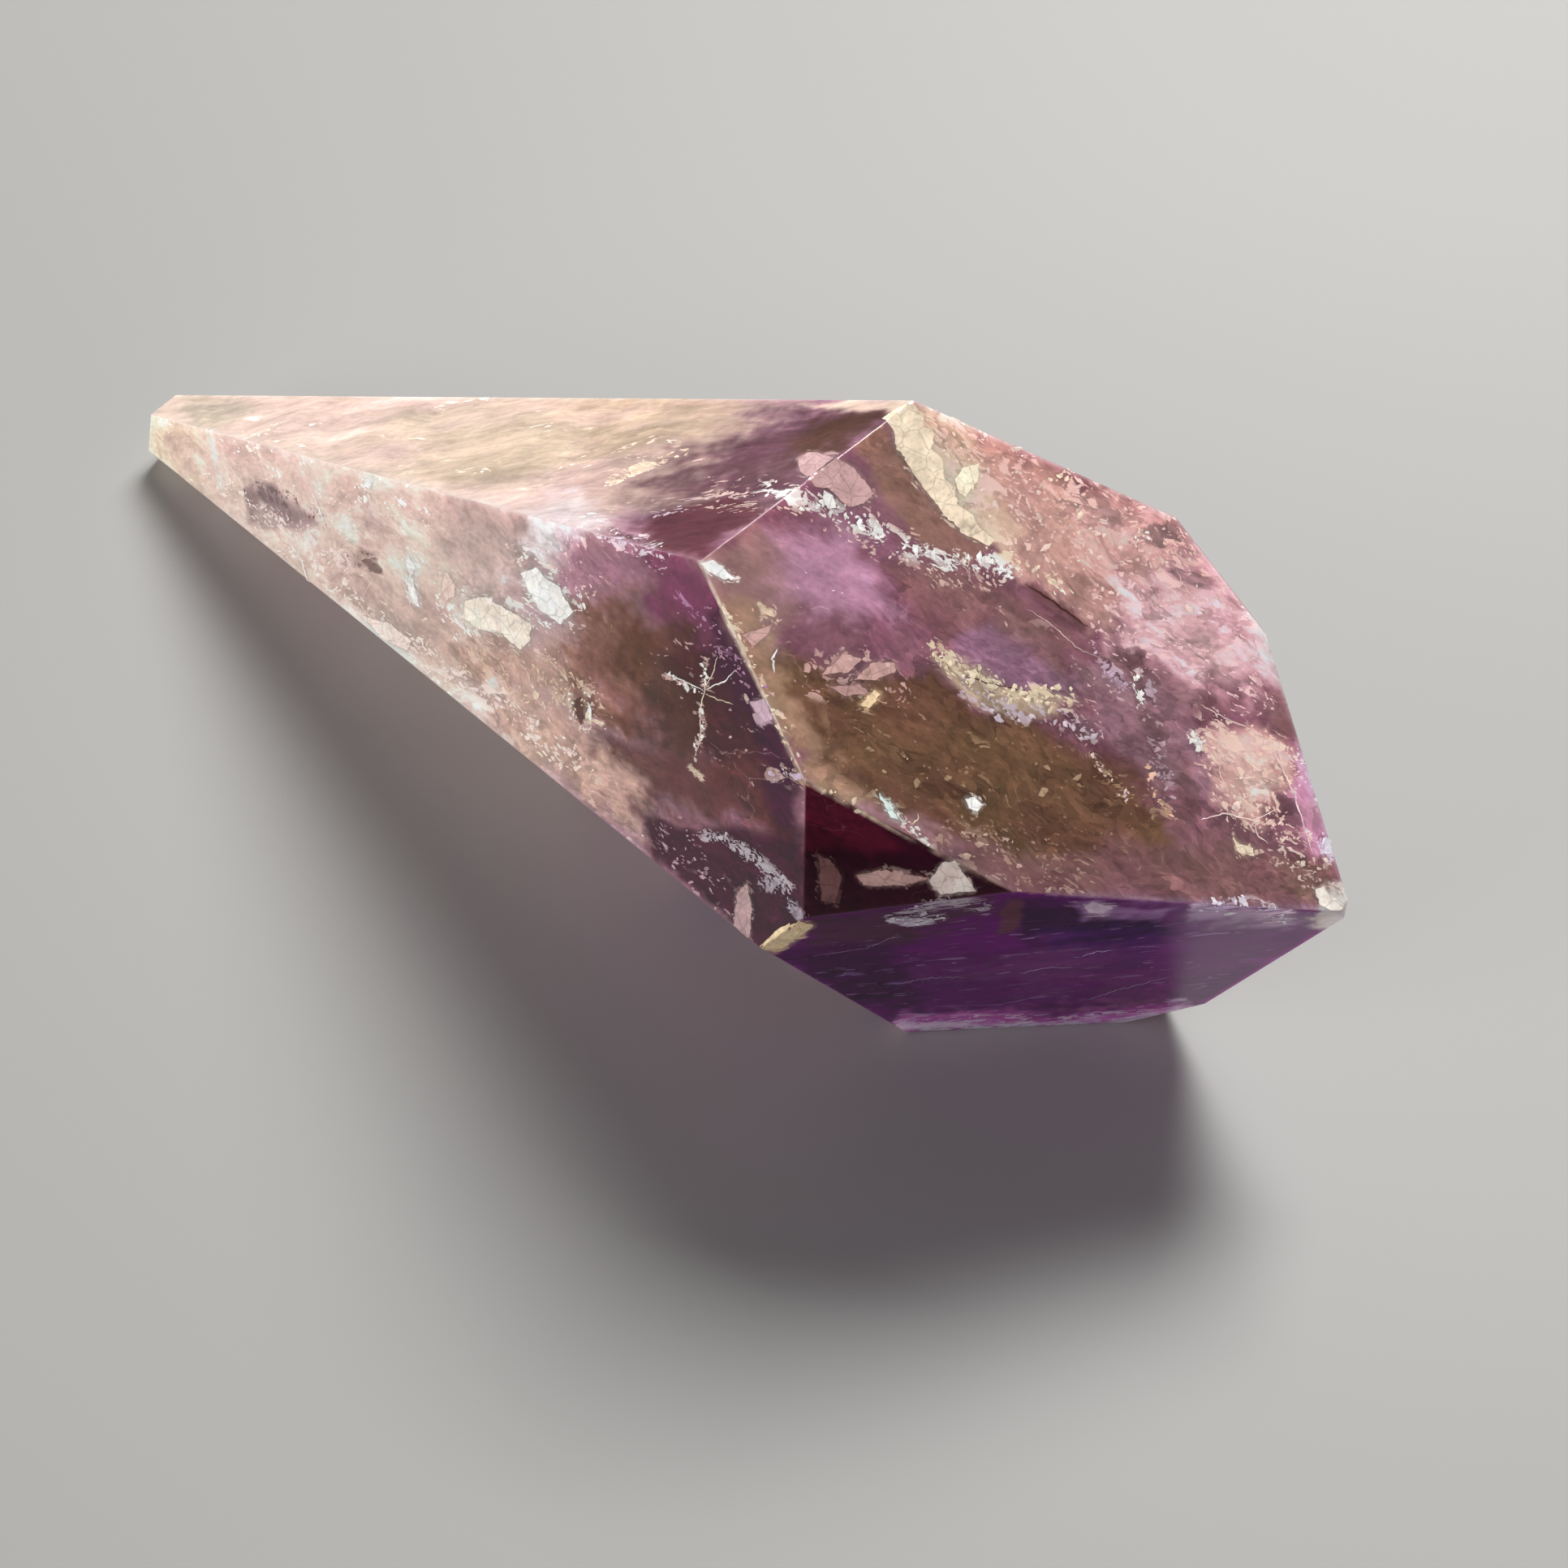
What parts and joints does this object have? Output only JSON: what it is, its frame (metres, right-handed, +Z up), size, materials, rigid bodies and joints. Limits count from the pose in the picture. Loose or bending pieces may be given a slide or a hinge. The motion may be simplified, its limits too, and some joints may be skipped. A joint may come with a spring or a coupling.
{
  "type": "amethyst point",
  "caption": "Polished amethyst point lying on one side: a long tapered quartz crystal that widens to a flat-faced pyramid tip, milky at its narrow end, violet to smoky brown at the tip.",
  "frame": {"origin": "on the surface that the crystal lies on, under the middle of its outline", "axes": "+Z up from its resting face, +X along the crystal to its point, +Y to its back"},
  "size_m": [0.1046, 0.0402, 0.0386],
  "materials": {
    "amethyst": "polished"
  },
  "bodies": {
    "root": {"amethyst_crystal": "amethyst"}
  },
  "joints": []
}
